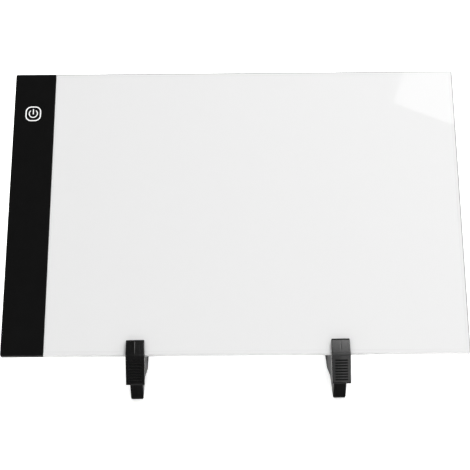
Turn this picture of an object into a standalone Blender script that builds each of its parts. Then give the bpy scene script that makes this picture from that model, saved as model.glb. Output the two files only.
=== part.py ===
"""LED tracing pad standing on two clip-on stands.

The pad is a thin A4 light box: an acrylic tracing panel, a black control strip
down its left short side, a light guide lit from that strip, an edge frame and
a white cover behind.  It leans back on two black clips.  Each clip grips the pad's lower
edge between a fixed rear jaw and a sprung front lever, and stands on a long
foot.  Metres, +Z up, the pad faces -Y, +X runs along its long edge.  The
origin is the centre of the underside of the object's bounding box.
"""
import math

import bmesh
import bpy
from mathutils import Matrix, Vector

MM = 0.001

# ---------------------------------------------------------------- pad, in mm
PAD_W = 335.0            # long edge
PAD_H = 235.0            # short edge
PAD_T = 4.0              # front face to rear cover, without the rubber feet
STRIP_W = 30.8           # black control strip
SEAM = 0.2               # strip to panel
PANEL_T = 0.8            # acrylic panel and strip
CORNER_R = 1.3
TAPE_Y0, TAPE_Y1 = 0.87, 1.00      # bonding tape, depth below the front face
RIM_Y, RIM_Y1 = 1.08, 2.88         # edge frame, depth below the front face
RIM_W = 2.6              # edge frame's width on the right, top and bottom
RIM_L = 1.6              # edge frame's width on the left
FLOOR_Y = 2.95           # inside face of the rear cover
DIFF_Y0, DIFF_Y1 = 0.95, 1.15
LGP_Y0, LGP_Y1 = 1.27, 2.57
REFL_Y0, REFL_Y1 = 2.67, 2.83
LGP_X0 = -130.9
KEY_X, KEY_Z = -152.5, 199.6       # touch key centre
FOOT_R, FOOT_T = 4.5, 1.6
FOOT_X, FOOT_Z = 153.0, (20.0, 215.0)
USB_Z, USB_W, USB_H, USB_D = 150.0, 7.4, 2.3, 5.2

# ------------------------------------------------------- how the pad stands
LEAN = math.radians(49.0)          # from vertical
SILL = 41.2                        # pad's lower front edge above the floor

# --------------------------------------------------------- clip stand, in mm
CLIP_X = (-71.1, 75.2)             # left and right clip, from the pad's middle
CLIP_TURN = math.radians(1.0)      # both were pushed on very slightly turned
JAW_GAP = 0.35                     # jaw rubber to pad
JAW_T = 1.0                        # jaw rubber
LIP_IN, LIP_OUT = 1.47, 3.6        # lever lip, in front of the pad's face
LIP_TOP = 10.55                    # lip top, up the pad from its lower edge
LIP_TAPER, LIP_BOW = 0.75, 0.6     # the lip thins toward its tip, on a slight curve
KINK = -2.0                        # where the lever bends, same scale
GRIP_LEAN = math.radians(22.0)     # the grip's lean from vertical
GRIP_L = 21.1
GRIP_T = 2.8
LEVER_W = (13.1, 13.7, 13.4)       # width at lip, bend and grip end
KEEL = 0.35                        # the lever's face is a shallow roof
RIB_N, RIB_PITCH, RIB_START = 8, 1.97, 4.55
RIB_CUT, RIB_DEEP, RIB_LEN = 0.95, 0.65, 9.0
PIVOT_Y, PIVOT_Z = 0.0, -7.7
PIN_R, PIN_HOLE_R, PIN_L = 1.5, 1.8, 13.0
EAR_X0, EAR_X1, EAR_R = 4.5, 6.4, 3.1
CHEEK_X0, CHEEK_X1, CHEEK_R = 2.5, 4.2, 3.0
TOE_HALF, FOOT_HALF = 4.6, 6.2     # half widths of the leg, front and rear
FLARE_Y0, FLARE_Y1 = 44.5, 58.5    # where it widens
SOLE_T = 1.2
HEEL_Y = 118.0
SPRING_R, SPRING_WIRE, SPRING_TURNS = 2.4, 0.4, 4

OBJECT = "led_tracing_pad"


# ------------------------------------------------------------------- helpers
for ob in list(bpy.data.objects):
    bpy.data.objects.remove(ob, do_unlink=True)

parts = bpy.data.collections.new(OBJECT)
tools = bpy.data.collections.new("cutters")
bpy.context.scene.collection.children.link(parts)
bpy.context.scene.collection.children.link(tools)


def material(name, colour, rough, metal=0.0):
    m = bpy.data.materials.new(name)
    m.use_nodes = True
    b = m.node_tree.nodes["Principled BSDF"]
    b.inputs["Base Color"].default_value = (*colour, 1.0)
    b.inputs["Roughness"].default_value = rough
    b.inputs["Metallic"].default_value = metal
    m.diffuse_color = (*colour, 1.0)
    return m


ACRYLIC = material("frosted_acrylic", (0.83, 0.83, 0.83), 0.18)
STRIP = material("black_strip", (0.012, 0.012, 0.013), 0.55)
WHITE = material("white_cover", (0.80, 0.80, 0.79), 0.45)
FILM = material("diffuser_film", (0.88, 0.88, 0.88), 0.6)
GUIDE = material("clear_guide", (0.78, 0.84, 0.84), 0.08)
MIRROR = material("reflector_film", (0.92, 0.92, 0.92), 0.25, 0.3)
TAPE = material("bonding_tape", (0.72, 0.72, 0.70), 0.7)
BOARD = material("green_board", (0.02, 0.16, 0.07), 0.5)
STRIPBOARD = material("white_led_board", (0.75, 0.75, 0.70), 0.5)
CHIP = material("chip_black", (0.02, 0.02, 0.02), 0.5)
STEEL = material("plated_steel", (0.62, 0.62, 0.62), 0.3, 1.0)
COPPER = material("tinned_copper", (0.72, 0.60, 0.45), 0.35, 1.0)
RED = material("red_wire", (0.5, 0.02, 0.02), 0.5)
BLACKWIRE = material("black_wire", (0.02, 0.02, 0.02), 0.5)
NYLON = material("black_nylon", (0.018, 0.018, 0.018), 0.38)
RUBBER = material("black_rubber", (0.02, 0.02, 0.02), 0.8)
GREYRUBBER = material("grey_rubber", (0.12, 0.12, 0.12), 0.85)
SPRINGSTEEL = material("spring_steel", (0.45, 0.45, 0.46), 0.35, 1.0)


def frame(name, location, rotation):
    e = bpy.data.objects.new(name, None)
    e.location = location
    e.rotation_euler = rotation
    parts.objects.link(e)
    return e


def add(name, mesh, mat, parent):
    ob = bpy.data.objects.new(name, mesh)
    parts.objects.link(ob)
    if mat is not None:
        mesh.materials.clear()
        mesh.materials.append(mat)
    ob.parent = parent
    return ob


def box_mesh(x0, x1, y0, y1, z0, z1, round_axis=None, radius=0.0, seg=4, chamfer=0.0):
    """Box in mm; the edges along one axis can be rounded, then all chamfered."""
    bm = bmesh.new()
    bmesh.ops.create_cube(bm, size=1.0)
    size = Vector((x1 - x0, y1 - y0, z1 - z0))
    mid = Vector((x0 + x1, y0 + y1, z0 + z1)) / 2
    for v in bm.verts:
        v.co = Vector((v.co.x * size.x, v.co.y * size.y, v.co.z * size.z)) + mid
    if round_axis is not None and radius > 0:
        pick = []
        for e in bm.edges:
            d = (e.verts[1].co - e.verts[0].co).normalized()
            if abs(d[round_axis]) > 0.99:
                pick.append(e)
        bmesh.ops.bevel(bm, geom=pick, offset=radius, segments=seg, profile=0.5, affect="EDGES")
    if chamfer > 0:
        pick = [e for e in bm.edges if e.calc_face_angle(0) > math.radians(60)]
        bmesh.ops.bevel(bm, geom=pick, offset=chamfer, segments=1, profile=0.5, affect="EDGES")
    return finish_mesh(bm)


def finish_mesh(bm):
    bmesh.ops.recalc_face_normals(bm, faces=bm.faces)
    for v in bm.verts:
        v.co *= MM
    me = bpy.data.meshes.new("m")
    bm.to_mesh(me)
    bm.free()
    return me


def turned_mesh(points, centre, axis, steps=32):
    """Solid of revolution in mm: (radius, height) points, closed on the axis."""
    bm = bmesh.new()
    verts = [bm.verts.new((r, 0.0, h)) for r, h in points]
    edges = [bm.edges.new((verts[i], verts[i + 1])) for i in range(len(verts) - 1)]
    bmesh.ops.spin(bm, geom=verts + edges, cent=(0, 0, 0), axis=(0, 0, 1), dvec=(0, 0, 0),
                   angle=2 * math.pi, steps=steps, use_merge=False, use_duplicate=False)
    bmesh.ops.remove_doubles(bm, verts=bm.verts, dist=1e-4)
    turn = {"x": Matrix.Rotation(math.pi / 2, 4, "Y"), "y": Matrix.Rotation(-math.pi / 2, 4, "X"),
            "z": Matrix.Identity(4)}[axis]
    bm.transform(Matrix.Translation(centre) @ turn)
    return finish_mesh(bm)


def fillet(points, seg=4):
    """Closed outline [(a, b, radius)] -> points with rounded corners."""
    out = []
    n = len(points)
    for i in range(n):
        p = Vector(points[i][:2])
        r = points[i][2]
        a = (Vector(points[i - 1][:2]) - p).normalized()
        b = (Vector(points[(i + 1) % n][:2]) - p).normalized()
        if r <= 0:
            out.append(tuple(p))
            continue
        ang = a.angle(b)
        reach = r / math.tan(ang / 2)
        s, e = p + a * reach, p + b * reach
        c = p + (a + b).normalized() * (r / math.sin(ang / 2))
        va, vb = s - c, e - c
        total = va.angle_signed(vb)
        for k in range(seg + 1):
            out.append(tuple(c + Matrix.Rotation(-total * k / seg, 2) @ va))
    return out


def outline_mesh(points, x0, x1):
    """Side outline (y, z) in mm, filled and thickened from x0 to x1."""
    cu = bpy.data.curves.new("outline", "CURVE")
    cu.dimensions = "2D"
    cu.fill_mode = "BOTH"
    cu.extrude = (x1 - x0) / 2
    sp = cu.splines.new("POLY")
    sp.points.add(len(points) - 1)
    for q, (y, z) in zip(sp.points, points):
        q.co = (y, z, 0.0, 1.0)
    sp.use_cyclic_u = True
    ob = bpy.data.objects.new("outline", cu)
    bpy.context.scene.collection.objects.link(ob)
    bpy.context.view_layer.update()
    me = bpy.data.meshes.new_from_object(ob.evaluated_get(bpy.context.evaluated_depsgraph_get()))
    bpy.data.objects.remove(ob, do_unlink=True)
    bm = bmesh.new()
    bm.from_mesh(me)
    bmesh.ops.remove_doubles(bm, verts=bm.verts, dist=1e-4)
    # curve x, y, z -> side view y, z and the width x
    bm.transform(Matrix(((0, 0, 1, (x0 + x1) / 2), (1, 0, 0, 0), (0, 1, 0, 0), (0, 0, 0, 1))))
    return bm


def cut_across(bm, co, no):
    bmesh.ops.bisect_plane(bm, geom=bm.verts[:] + bm.edges[:] + bm.faces[:], dist=1e-5,
                           plane_co=co, plane_no=no)


def boolean(mesh, others, operation):
    """Exact Boolean of meshes, returned as one mesh."""
    base = bpy.data.objects.new("base", mesh)
    parts.objects.link(base)
    used = []
    for i, other in enumerate(others):
        c = bpy.data.objects.new("cutter", other)
        tools.objects.link(c)
        c.hide_render = True
        c.display_type = "WIRE"
        m = base.modifiers.new("cut%d" % i, "BOOLEAN")
        m.operation = operation
        m.solver = "EXACT"
        m.object = c
        used.append(c)
    bpy.context.view_layer.update()
    out = bpy.data.meshes.new_from_object(base.evaluated_get(bpy.context.evaluated_depsgraph_get()))
    bpy.data.objects.remove(base, do_unlink=True)
    for c in used:
        bpy.data.objects.remove(c, do_unlink=True)
    return out


def tube_mesh(points, radius, resolution=2):
    """Round wire in mm along a poly line, with filled ends."""
    cu = bpy.data.curves.new("wire", "CURVE")
    cu.dimensions = "3D"
    cu.bevel_depth = radius
    cu.bevel_resolution = resolution
    cu.use_fill_caps = True
    sp = cu.splines.new("POLY")
    sp.points.add(len(points) - 1)
    for q, p in zip(sp.points, points):
        q.co = (*p, 1.0)
    ob = bpy.data.objects.new("wire", cu)
    bpy.context.scene.collection.objects.link(ob)
    bpy.context.view_layer.update()
    me = bpy.data.meshes.new_from_object(ob.evaluated_get(bpy.context.evaluated_depsgraph_get()))
    bpy.data.objects.remove(ob, do_unlink=True)
    bm = bmesh.new()
    bm.from_mesh(me)
    bmesh.ops.remove_doubles(bm, verts=bm.verts, dist=1e-4)
    return finish_mesh(bm)


def smooth(ob, angle=35.0):
    ob.data.shade_smooth()
    ob.data.set_sharp_from_angle(angle=math.radians(angle))


# The pad's directions in the side view: u runs up the pad, n out of its face.
U = Vector((math.sin(LEAN), math.cos(LEAN)))
N = Vector((-math.cos(LEAN), math.sin(LEAN)))
DOWN = Vector((-math.sin(GRIP_LEAN), -math.cos(GRIP_LEAN)))      # along the grip
BACK = Vector((math.cos(GRIP_LEAN), -math.sin(GRIP_LEAN)))       # behind the grip


def at(a, b):
    """Point a up the pad and b in front of its face -> (y, z)."""
    return U * a + N * b


# The box runs from the grip's tip in front to the pad's top edge behind.
KINK_FRONT = at(KINK, LIP_OUT)
GRIP_END = KINK_FRONT + DOWN * GRIP_L
Y_FRONT = GRIP_END.x - KEEL * math.cos(GRIP_LEAN)
Y_REAR = at(PAD_H, -PAD_T).x + FOOT_T * 0.0
ORIGIN_Y = -(Y_FRONT + Y_REAR) / 2 * MM

pad = frame("pad_frame", (0, ORIGIN_Y, SILL * MM), (-LEAN, 0, 0))
clips = [frame(side + "_clip_frame", (x * MM, ORIGIN_Y, SILL * MM), (0, 0, CLIP_TURN))
         for side, x in zip(("left", "right"), CLIP_X)]

HW = PAD_W / 2
SPLIT_X = -HW + STRIP_W

# -------------------------------------------------------------- the light pad
# Plates are modelled lying in x-z, with y as the depth behind the front face.


def corner_plate(x0, x1, z0, z1, y0, y1, radius, left=True, right=True, front=0.0, back=0.0):
    """Plate whose outer corners are rounded, with small front and back chamfers."""
    bm = bmesh.new()
    bmesh.ops.create_cube(bm, size=1.0)
    for v in bm.verts:
        v.co = Vector(((x0 + x1) / 2 + v.co.x * (x1 - x0), (y0 + y1) / 2 + v.co.y * (y1 - y0),
                       (z0 + z1) / 2 + v.co.z * (z1 - z0)))
    pick = []
    for e in bm.edges:
        d = e.verts[1].co - e.verts[0].co
        if abs(d.x) < 1e-6 and abs(d.z) < 1e-6:
            x = e.verts[0].co.x
            if (left and abs(x - x0) < 1e-6) or (right and abs(x - x1) < 1e-6):
                pick.append(e)
    bmesh.ops.bevel(bm, geom=pick, offset=radius, segments=4, profile=0.5, affect="EDGES")
    for y, width in ((y0, front), (y1, back)):
        if width > 0:
            keep = []
            for e in bm.edges:
                if all(abs(v.co.y - y) < 1e-6 for v in e.verts):
                    on_left = all(abs(v.co.x - x0) < 1e-6 for v in e.verts)
                    on_right = all(abs(v.co.x - x1) < 1e-6 for v in e.verts)
                    if (on_left and not left) or (on_right and not right):
                        continue
                    if len(e.link_faces) == 2 and e.calc_face_angle(0) > math.radians(60):
                        keep.append(e)
            bmesh.ops.bevel(bm, geom=keep, offset=width, segments=1, profile=0.5, affect="EDGES")
    return finish_mesh(bm)


front_panel = add("front_panel", corner_plate(SPLIT_X + SEAM / 2, HW, 0, PAD_H, 0, PANEL_T, CORNER_R,
                                              left=False, front=0.2), ACRYLIC, pad)
control_strip = add("control_strip", corner_plate(-HW, SPLIT_X - SEAM / 2, 0, PAD_H, 0, PANEL_T, CORNER_R,
                                                  right=False, front=0.2), STRIP, pad)

# double-sided tape that bonds the panel to the edge frame: a thin frame
tape_out = box_mesh(-HW + 0.4, HW - 0.4, TAPE_Y0, TAPE_Y1, 0.4, PAD_H - 0.4, 1, 0.9)
tape_in = box_mesh(-HW + RIM_L, HW - RIM_W, TAPE_Y0 - 1, TAPE_Y1 + 1, RIM_W, PAD_H - RIM_W)
add("bonding_tape", boolean(tape_out, [tape_in], "DIFFERENCE"), TAPE, pad)

diffuser_sheet = add("diffuser_sheet", box_mesh(LGP_X0 + 0.2, HW - RIM_W - 0.4, DIFF_Y0 + 0.02, DIFF_Y1,
                                                RIM_W + 0.4, PAD_H - RIM_W - 0.4), FILM, pad)
light_guide = add("light_guide_plate", box_mesh(LGP_X0, HW - RIM_W - 0.4, LGP_Y0, LGP_Y1,
                                                RIM_W + 0.4, PAD_H - RIM_W - 0.4), GUIDE, pad)
reflector = add("reflector_sheet", box_mesh(LGP_X0 + 0.2, HW - RIM_W - 0.4, REFL_Y0, REFL_Y1,
                                            RIM_W + 0.4, PAD_H - RIM_W - 0.4), MIRROR, pad)

# edge frame round the stack of sheets, and the flat cover behind it; both make
# room for the power inlet at the left edge
usb_y0 = RIM_Y + 0.02
usb_y1 = usb_y0 + USB_H + 0.22
usb_z0, usb_z1 = USB_Z - USB_W / 2 - 0.4, USB_Z + USB_W / 2 + 0.4
ring = corner_plate(-HW, HW, 0, PAD_H, RIM_Y, RIM_Y1, CORNER_R)
hollow = box_mesh(-HW + RIM_L, HW - RIM_W, RIM_Y - 2.0, RIM_Y1 + 2.0, RIM_W, PAD_H - RIM_W, 1, 1.0)
usb_mouth = box_mesh(-HW - 2.0, -HW + RIM_L + 0.6, RIM_Y - 1.0, RIM_Y1 + 1.0, usb_z0, usb_z1)
add("edge_frame", boolean(ring, [hollow, usb_mouth], "DIFFERENCE"), WHITE, pad)
back = corner_plate(-HW, HW, 0, PAD_H, FLOOR_Y, PAD_T, CORNER_R, back=0.7)
usb_pocket = box_mesh(-HW - 2.0, -HW + USB_D + 0.9, FLOOR_Y - 1.0, usb_y1, usb_z0, usb_z1)
rear_cover = add("rear_cover", boolean(back, [usb_pocket], "DIFFERENCE"), WHITE, pad)

# power inlet: a small plated shell with a slot for the plug, facing -X
shell = box_mesh(-HW + 0.3, -HW + 0.3 + USB_D, usb_y0, usb_y0 + USB_H,
                 USB_Z - USB_W / 2, USB_Z + USB_W / 2, 0, 0.5, 3)
slot = box_mesh(-HW - 1.0, -HW + 0.3 + 4.3, usb_y0 + 0.28, usb_y0 + USB_H - 0.28,
                USB_Z - USB_W / 2 + 0.3, USB_Z + USB_W / 2 - 0.3, 0, 0.35, 3)
tongue = box_mesh(-HW + 1.2, -HW + 0.3 + 4.6, usb_y0 + 0.86, usb_y0 + 1.44,
                  USB_Z - 2.1, USB_Z + 2.1)
shell = boolean(shell, [slot], "DIFFERENCE")
add("power_socket", boolean(shell, [tongue], "UNION"), STEEL, pad)

# light-emitting strip at the guide's left edge: a narrow board with its lamps
led_board = box_mesh(-136.9, -131.3, 2.25, 2.80, 5.0, PAD_H - 5.0)
lamps = []
LAMPS = 24
for i in range(LAMPS):
    z = 5.0 + (PAD_H - 10.0) * (i + 0.5) / LAMPS
    lamps.append(box_mesh(-132.5, -131.3, 1.35, 2.40, z - 1.5, z + 1.5))
join = bmesh.new()
for m in lamps:
    join.from_mesh(m)
lamp_mesh = bpy.data.meshes.new("lamps")
join.to_mesh(lamp_mesh)
join.free()
add("led_strip", boolean(led_board, [lamp_mesh], "UNION"), STRIPBOARD, pad)

# control board behind the touch key, with its two chips and the electrode
BOARD_X0, BOARD_X1 = -161.2, -139.6
add("control_board", box_mesh(BOARD_X0, BOARD_X1, 2.30, 2.80, 138.0, 216.0, 1, 0.8), BOARD, pad)
add("touch_electrode", turned_mesh(((0, 1.25), (1.4, 1.25), (1.4, 0.45), (5.6, 0.45), (5.6, 0.0), (0, 0.0)),
                                   (KEY_X, 0.93, KEY_Z), "y", 28), COPPER, pad)


def chip_mesh(x, z, w, h, legs):
    """Flat package with a row of legs on both long sides, one solid."""
    body = box_mesh(x - w / 2, x + w / 2, 1.30, 2.12, z - h / 2, z + h / 2, None, 0, 4, 0.12)
    pins = []
    for side in (-1, 1):
        for k in range(legs):
            pz = z - h / 2 + h * (k + 0.5) / legs
            xa, xb = x + side * (w / 2 - 0.3), x + side * (w / 2 + 0.9)
            pins.append(box_mesh(min(xa, xb), max(xa, xb), 1.75, 2.16, pz - 0.2, pz + 0.2))
    bm = bmesh.new()
    for m in pins:
        bm.from_mesh(m)
    all_pins = bpy.data.meshes.new("pins")
    bm.to_mesh(all_pins)
    bm.free()
    return boolean(body, [all_pins], "UNION")


add("touch_chip", chip_mesh(-150.0, 182.0, 3.9, 4.9, 4), CHIP, pad)
add("driver_chip", chip_mesh(-149.0, 158.0, 3.9, 4.9, 4), CHIP, pad)


def lead(z0, z1):
    """Thin lead from the control board across to the lamp board."""
    pts = []
    for i in range(9):
        t = i / 8
        ease = t * t * (3 - 2 * t)
        pts.append((-144.0 + 9.4 * t, 1.74, z0 + (z1 - z0) * ease))
    return tube_mesh(pts, 0.32)


add("led_lead_positive", lead(146.0, 141.0), RED, pad)
add("led_lead_negative", lead(143.6, 138.0), BLACKWIRE, pad)

# four small rubber feet on the rear cover, for use flat on a table
foot_profile = ((0, FOOT_T), (FOOT_R - 0.5, FOOT_T), (FOOT_R, FOOT_T - 0.5), (FOOT_R, 0.0), (0, 0.0))
foot_mesh = turned_mesh(foot_profile, (0, 0, 0), "y", 24)
foot_mesh.materials.append(GREYRUBBER)
for name, sx, z in (("upper_left", -1, FOOT_Z[1]), ("upper_right", 1, FOOT_Z[1]),
                    ("lower_left", -1, FOOT_Z[0]), ("lower_right", 1, FOOT_Z[0])):
    f = add("rubber_foot_" + name, foot_mesh, None, pad)
    f.location = Vector((sx * FOOT_X, PAD_T + 0.06, z)) * MM

# ------------------------------------------------------------- the clip stand
# Modelled once in the clip's own side view, y back and z up from the pad's
# lower front edge, and used for both clips.

# lever: lip over the pad, bend, ribbed grip below
lip_back_kink = None
p0, d0 = at(0, LIP_IN), U                       # lip's rear face
p1, d1 = KINK_FRONT + BACK * GRIP_T, DOWN       # grip's rear face
det = d0.x * (-d1.y) - (-d1.x) * d0.y
rhs = p1 - p0
t = (rhs.x * (-d1.y) - (-d1.x) * rhs.y) / det
lip_back_kink = p0 + d0 * t



def lip_face(up):
    """Front of the lip at a height up the pad."""
    t = (up - KINK) / (LIP_TOP - KINK)
    return at(up, LIP_OUT - LIP_TAPER * t - LIP_BOW * t * t)


lip_front, lip_rear = lip_face(LIP_TOP), at(LIP_TOP, LIP_IN)
grip_rear = GRIP_END + BACK * GRIP_T
lever_outline = fillet([(*lip_front, 0.38), (*lip_face(8.0), 0.0), (*lip_face(5.0), 0.0), (*lip_face(2.0), 0.0),
                        (*KINK_FRONT, 4.0), (*GRIP_END, 0.9), (*grip_rear, 0.9),
                        (*lip_back_kink, 3.0), (*lip_rear, 0.34)], 4)
bm = outline_mesh(lever_outline, -1.0, 1.0)
cut_across(bm, (0, 0, 0), (1, 0, 0))
for station in (KINK_FRONT + DOWN * 0.6,):
    cut_across(bm, (0, station.x, station.y), (0, DOWN.x, DOWN.y))
axis_len = (lip_front - KINK_FRONT).length
for v in bm.verts:
    side = Vector((v.co.y, v.co.z))
    s = (side - KINK_FRONT).dot(DOWN)
    if s >= 0:
        w = LEVER_W[1] + (LEVER_W[2] - LEVER_W[1]) * min(s / GRIP_L, 1.0)
    else:
        up = (side - KINK_FRONT).dot(U)
        w = LEVER_W[1] + (LEVER_W[0] - LEVER_W[1]) * min(max(up / axis_len, 0.0), 1.0)
    front = (side - (KINK_FRONT + BACK * 1.2)).dot(BACK) < 0 and (side - at(0, LIP_IN + 0.4)).dot(N) > 0
    if abs(v.co.x) < 0.01 and front:
        side = side + (N + (-BACK)).normalized() * KEEL
        v.co.y, v.co.z = side.x, side.y
    v.co.x *= w / 2
lever_mesh = finish_mesh(bm)

# round lugs that carry the pivot, one each side of the stand's cheeks
pivot = Vector((PIVOT_Y, PIVOT_Z))


def lug(x0, x1):
    pts = []
    start = math.atan2(-DOWN.y, -DOWN.x)        # top of the circle, along the grip
    for k in range(13):
        a = start - math.pi * k / 12
        pts.append(tuple(pivot + Vector((math.cos(a), math.sin(a))) * EAR_R))
    toward = -BACK * ((pivot - (KINK_FRONT + BACK * GRIP_T)).dot(BACK) + 0.9)
    pts.append(tuple(pivot + DOWN * EAR_R + toward))
    pts.append(tuple(pivot - DOWN * EAR_R + toward))
    return finish_mesh(outline_mesh(pts, x0, x1))


def across(radius, length, steps=28, mid=0.0):
    """Cylinder along x about the pivot."""
    return turned_mesh(((0, length / 2), (radius, length / 2), (radius, -length / 2), (0, -length / 2)),
                       (mid, PIVOT_Y, PIVOT_Z), "x", steps)


ribs = []
for i in range(RIB_N):
    mid = KINK_FRONT + DOWN * (RIB_START + RIB_PITCH * i)
    c = box_mesh(-RIB_LEN / 2, RIB_LEN / 2, -2.0, RIB_DEEP, -RIB_CUT / 2, RIB_CUT / 2)
    c.transform(Matrix.Translation((0, mid.x * MM, mid.y * MM)) @ Matrix.Rotation(-GRIP_LEAN, 4, "X"))
    ribs.append(c)
bm = bmesh.new()
for m in ribs:
    bm.from_mesh(m)
rib_mesh = bpy.data.meshes.new("ribs")
bm.to_mesh(rib_mesh)
bm.free()

lever_mesh = boolean(lever_mesh, [lug(-EAR_X1, -EAR_X0), lug(EAR_X0, EAR_X1)], "UNION")
lever_mesh = boolean(lever_mesh, [rib_mesh, across(PIN_HOLE_R, 20.0)], "DIFFERENCE")
lever_mesh.materials.clear()
lever_mesh.materials.append(NYLON)

# stand body: rear jaw, seat under the pad's edge, cheeks, toe and long foot
floor = -SILL + SOLE_T
rear_in = -(PAD_T + JAW_GAP + JAW_T + 0.12)      # face behind the rear jaw's rubber
toe_mid = Vector((3.8, -25.9))                   # on the toe's sloping front
toe_low = Vector((11.3, -SILL))
slope = (toe_low - toe_mid).normalized()
toe_foot = toe_mid + slope * ((floor - toe_mid.y) / slope.y)
toe_high = toe_mid - slope * 10.5
cheek_front = pivot + Vector((-CHEEK_R, -1.0))
cheek_top = pivot + Vector((-CHEEK_R, 3.2))
body_outline = fillet([
    (*at(-0.4, 0.0), 0.6), (*cheek_top, 1.2), (*cheek_front, 1.0), (*toe_high, 3.0),
    (*toe_mid, 0.0), (*toe_foot, 1.0),
    (HEEL_Y, floor, 1.5), (HEEL_Y - 1.0, floor + 6.0, 3.0), (HEEL_Y - 10.0, floor + 9.0, 6.0),
    (14.0, -11.0, 6.0), (*at(2.0, -9.6), 3.0), (*at(14.0, -7.9), 1.0),
    (*at(14.0, rear_in), 0.6), (*at(-0.4, rear_in), 0.4)], 4)
bm = outline_mesh(body_outline, -1.0, 1.0)
for y in (1.5, 4.5, FLARE_Y0, FLARE_Y1):
    cut_across(bm, (0, y, 0), (0, 1, 0))
for v in bm.verts:
    y = v.co.y
    if y <= 1.5:
        w = CHEEK_X1
    elif y <= 4.5:
        w = CHEEK_X1 + (TOE_HALF - CHEEK_X1) * (y - 1.5) / 3.0
    elif y <= FLARE_Y0:
        w = TOE_HALF
    elif y <= FLARE_Y1:
        w = TOE_HALF + (FOOT_HALF - TOE_HALF) * (y - FLARE_Y0) / (FLARE_Y1 - FLARE_Y0)
    else:
        w = FOOT_HALF
    # the toe is full width lower down, where no lug passes it
    if y <= 4.5 and v.co.z < -17.0:
        w = TOE_HALF
    v.co.x *= w
bmesh.ops.triangulate(bm, faces=[f for f in bm.faces if len(f.verts) > 4])
body_mesh = finish_mesh(bm)

# clevis slot for the spring, and shallow pockets in the sides of the foot
spring_slot = box_mesh(-CHEEK_X0, CHEEK_X0, PIVOT_Y - 8.0, PIVOT_Y + 3.2, PIVOT_Z - 3.2, PIVOT_Z + 3.1)
leg_slot = box_mesh(-1.3, 2.0, PIVOT_Y - 8.0, PIVOT_Y + 7.2, PIVOT_Z - 11.0, PIVOT_Z + 0.6)
leg_relief = box_mesh(-CHEEK_X0, 0.0, PIVOT_Y - 8.0, PIVOT_Y - 1.0, PIVOT_Z - 11.0, PIVOT_Z - 1.0)
cuts = [spring_slot, leg_slot, leg_relief, across(PIN_HOLE_R, 20.0)]
pocket = fillet([(57.0, floor + 3.0, 1.5), (104.0, floor + 3.0, 1.5), (104.0, floor + 7.2, 1.5),
                 (57.0, floor + 14.6, 1.5)], 3)
for sx in (-1, 1):
    xa, xb = sx * (FOOT_HALF - 1.6), sx * (FOOT_HALF + 2.0)
    cuts.append(finish_mesh(outline_mesh(pocket, min(xa, xb), max(xa, xb))))
body_mesh = boolean(body_mesh, cuts, "DIFFERENCE")
body_mesh.materials.clear()
body_mesh.materials.append(NYLON)

pin_mesh = turned_mesh(((0, PIN_L / 2), (PIN_R - 0.3, PIN_L / 2), (PIN_R, PIN_L / 2 - 0.3),
                        (PIN_R, -PIN_L / 2 + 0.3), (PIN_R - 0.3, -PIN_L / 2), (0, -PIN_L / 2)),
                       (0, PIVOT_Y, PIVOT_Z), "x", 28)
pin_mesh.materials.append(STEEL)

# torsion spring: a coil round the pin, one leg behind the grip, one in the slot
coil = []
turns, per = SPRING_TURNS, 16
half = 1.75
a_start = math.atan2(-BACK.y, -BACK.x)           # toward the grip
a_end = 0.0
sweep = 2 * math.pi * turns + ((a_end - a_start) % (2 * math.pi))
count = int(sweep / (2 * math.pi) * per)
leg1_end = pivot - BACK * 3.35 + DOWN * 10.0
coil.append((-half, *leg1_end))
coil.append((-half, *(pivot - BACK * 3.0 + DOWN * 5.5)))
for k in range(count + 1):
    f = k / count
    a = a_start + sweep * f
    coil.append((-half + 2 * half * f, PIVOT_Y + SPRING_R * math.cos(a), PIVOT_Z + SPRING_R * math.sin(a)))
coil.append((half - 0.9, PIVOT_Y + SPRING_R + 0.1, PIVOT_Z - 3.4))
coil.append((half - 1.2, PIVOT_Y + SPRING_R + 0.1, PIVOT_Z - 8.6))
spring_mesh = tube_mesh(coil, SPRING_WIRE)
spring_mesh.materials.append(SPRINGSTEEL)


def jaw_rubber(b0, b1, a0, a1):
    """Rubber facing on a jaw, in the pad's own directions."""
    m = box_mesh(-5.0, 5.0, -b1, -b0, a0, a1, 1, 1.2, 3)
    m.transform(Matrix.Rotation(-LEAN, 4, "X"))
    m.materials.append(RUBBER)
    return m


front_rubber = jaw_rubber(JAW_GAP, JAW_GAP + JAW_T, 1.0, 9.4)
rear_rubber = jaw_rubber(-(PAD_T + JAW_GAP + JAW_T), -(PAD_T + JAW_GAP), 1.6, 13.0)


def sole(x, y0, y1):
    m = box_mesh(-x, x, y0, y1, -SILL, floor - 0.06, 2, 1.2, 4)
    m.materials.append(RUBBER)
    return m


toe_sole = sole(TOE_HALF - 0.1, toe_low.x, 27.0)
heel_sole = sole(FOOT_HALF - 0.4, 98.0, HEEL_Y - 1.6)

for side, rig in zip(("left", "right"), clips):
    for name, mesh in (("stand_body", body_mesh), ("clamp_lever", lever_mesh), ("pivot_pin", pin_mesh),
                       ("torsion_spring", spring_mesh), ("front_jaw_rubber", front_rubber),
                       ("rear_jaw_rubber", rear_rubber), ("toe_sole", toe_sole), ("heel_sole", heel_sole)):
        ob = add(side + "_" + name, mesh, None, rig)
        if name in ("pivot_pin", "torsion_spring", "stand_body", "clamp_lever"):
            smooth(ob, 30.0)

for ob in parts.objects:
    if ob.type == "MESH" and ob.name.startswith(("rubber_foot", "touch_electrode", "led_lead")):
        smooth(ob, 40.0)
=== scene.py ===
"""Look scene for the LED tracing pad on its two clip-on stands.

Every visible piece is remade here at a finer grain than the frame's solids, in
the same places, and given a procedural finish.  Metres, +Z up, the pad faces -Y.
"""
import math

import bmesh
import bpy
from mathutils import Matrix, Vector, noise


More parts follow.
